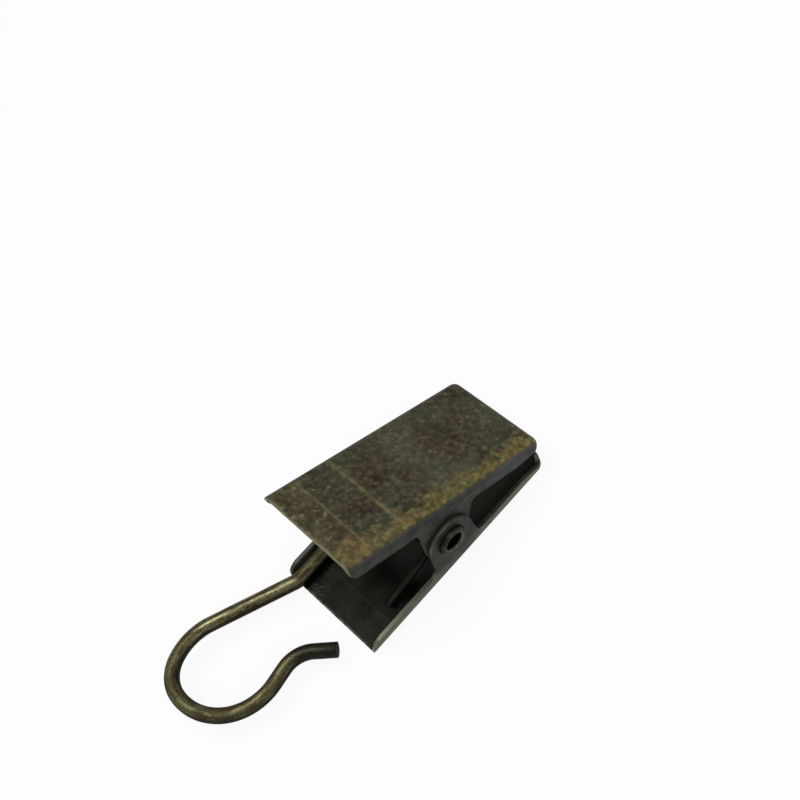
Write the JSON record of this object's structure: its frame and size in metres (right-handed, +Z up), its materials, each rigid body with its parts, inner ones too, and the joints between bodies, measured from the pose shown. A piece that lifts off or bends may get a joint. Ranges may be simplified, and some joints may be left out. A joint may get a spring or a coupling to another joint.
{
  "type": "curtain hook",
  "caption": "Sprung sheet-metal clip with two stamped jaws on a tubular rivet and a bent wire hook at its rear, for hanging a curtain from a ring, wire or rail eye",
  "frame": {"origin": "On the flat outer face of the lower jaw, straight below the middle of the pivot axis.", "axes": "+X points from the hook to the gripping nose, +Y runs along the pivot axis to the side on which the hook's shank lies, +Z is up, away from the face the clip lies on."},
  "size_m": [0.0464, 0.0178, 0.0165],
  "materials": {
    "jaw_metal": "antique bronze plating, mottled dark brown with golden wear on the bends",
    "rivet_metal": "antique bronze plating, dark",
    "spring_steel": "dark oiled spring steel",
    "wire_metal": "antique bronze plating, smooth drawn wire"
  },
  "bodies": {
    "lower": {"lower_jaw": "jaw_metal", "rivet": "rivet_metal", "spring": "spring_steel"},
    "upper": {"upper_jaw": "jaw_metal"},
    "hook": {"hook": "wire_metal"}
  },
  "joints": [
    {"name": "jaw_pivot", "type": "hinge", "parent": "lower", "child": "upper", "pos_m": [0, 0, 0.0055], "axis": [0, -1, 0], "range_deg": [0, 30], "stiffness_Nm_per_rad": 0.06, "springref_deg": -40.11, "deforming": ["spring"]},
    {"name": "hook_swing", "type": "hinge", "parent": "lower", "child": "hook", "pos_m": [0, 0, 0.0055], "axis": [0, 1, 0], "range_deg": [0, 20]}
  ]
}
